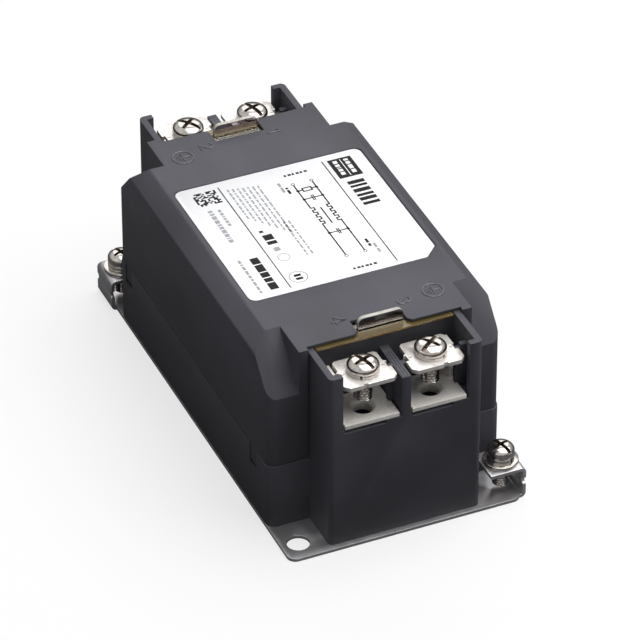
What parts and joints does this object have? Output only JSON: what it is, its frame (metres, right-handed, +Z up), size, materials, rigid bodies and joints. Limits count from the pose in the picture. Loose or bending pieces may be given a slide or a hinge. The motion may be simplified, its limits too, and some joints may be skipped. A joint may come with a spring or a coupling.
{
  "type": "EMI line filter",
  "caption": "Mains line filter in a moulded case on a steel base plate, with raised-screw terminals and a sliding clear cover at each end.",
  "frame": {"origin": "middle of the underside of the base plate", "axes": "+Z up from the mounting surface, +Y along the length, +X across the width"},
  "size_m": [0.0564, 0.108, 0.0476],
  "materials": {
    "case": "moulded, fine satin",
    "base_plate": "zinc plated",
    "label": "printed film",
    "clear_sheet": "clear, faint amber",
    "terminal_plates": "nickel plated, satin",
    "clamp_washers": "nickel plated",
    "washers": "plated",
    "screws": "nickel plated, bright",
    "circuit_board": "solder resist",
    "insulation": "moulded",
    "choke_core": "epoxy coated ferrite",
    "copper_wire": "enamelled copper",
    "line_capacitors": "moulded box",
    "earth_capacitors": "epoxy dipped",
    "resistor": "lacquered"
  },
  "bodies": {
    "filter_case": {"base_plate": "base_plate", "case_base": "case", "top_cover": "case", "rating_label": "label", "terminal_plate_1": "terminal_plates", "terminal_plate_2": "terminal_plates", "terminal_plate_3": "terminal_plates", "terminal_plate_4": "terminal_plates", "ground_screws": "screws", "ground_spring_washers": "washers", "ground_flat_washers": "washers", "circuit_board": "circuit_board", "board_screws": "screws", "choke_base": "insulation", "choke_core": "choke_core", "line_winding": "copper_wire", "neutral_winding": "copper_wire", "input_x_capacitor": "line_capacitors", "output_x_capacitor": "line_capacitors", "earth_capacitors": "earth_capacitors", "discharge_resistor": "resistor", "earth_strap": "base_plate"},
    "front_cover_slider": {"front_clear_cover": "clear_sheet"},
    "rear_cover_slider": {"rear_clear_cover": "clear_sheet"},
    "clamp_1": {"clamp_washer_1": "clamp_washers", "spring_washer_1": "washers"},
    "screw_1": {"terminal_screw_1": "screws"},
    "clamp_2": {"clamp_washer_2": "clamp_washers", "spring_washer_2": "washers"},
    "screw_2": {"terminal_screw_2": "screws"},
    "clamp_3": {"clamp_washer_3": "clamp_washers", "spring_washer_3": "washers"},
    "screw_3": {"terminal_screw_3": "screws"},
    "clamp_4": {"clamp_washer_4": "clamp_washers", "spring_washer_4": "washers"},
    "screw_4": {"terminal_screw_4": "screws"}
  },
  "joints": [
    {"name": "front_cover_slide", "type": "slide", "parent": "filter_case", "child": "front_cover_slider", "axis": [0, -1, 0], "range_m": [0, 0.0092]},
    {"name": "rear_cover_slide", "type": "slide", "parent": "filter_case", "child": "rear_cover_slider", "axis": [0, 1, 0], "range_m": [0, 0.0092]},
    {"name": "clamp_1_travel", "type": "slide", "parent": "filter_case", "child": "clamp_1", "axis": [0, 0, -1], "range_m": [0, 0.0084]},
    {"name": "clamp_2_travel", "type": "slide", "parent": "filter_case", "child": "clamp_2", "axis": [0, 0, -1], "range_m": [0, 0.0084]},
    {"name": "clamp_3_travel", "type": "slide", "parent": "filter_case", "child": "clamp_3", "axis": [0, 0, -1], "range_m": [0, 0.0084]},
    {"name": "clamp_4_travel", "type": "slide", "parent": "filter_case", "child": "clamp_4", "axis": [0, 0, -1], "range_m": [0, 0.0084]},
    {"name": "screw_1_turn", "type": "hinge", "parent": "clamp_1", "child": "screw_1", "pos_m": [-0.0077, -0.0476, 0.0417], "axis": [0, 0, 1], "continuous": true},
    {"name": "screw_2_turn", "type": "hinge", "parent": "clamp_2", "child": "screw_2", "pos_m": [0.0077, -0.0476, 0.0417], "axis": [0, 0, 1], "continuous": true},
    {"name": "screw_3_turn", "type": "hinge", "parent": "clamp_3", "child": "screw_3", "pos_m": [0.0077, 0.0476, 0.0417], "axis": [0, 0, 1], "continuous": true},
    {"name": "screw_4_turn", "type": "hinge", "parent": "clamp_4", "child": "screw_4", "pos_m": [-0.0077, 0.0476, 0.0417], "axis": [0, 0, 1], "continuous": true}
  ]
}
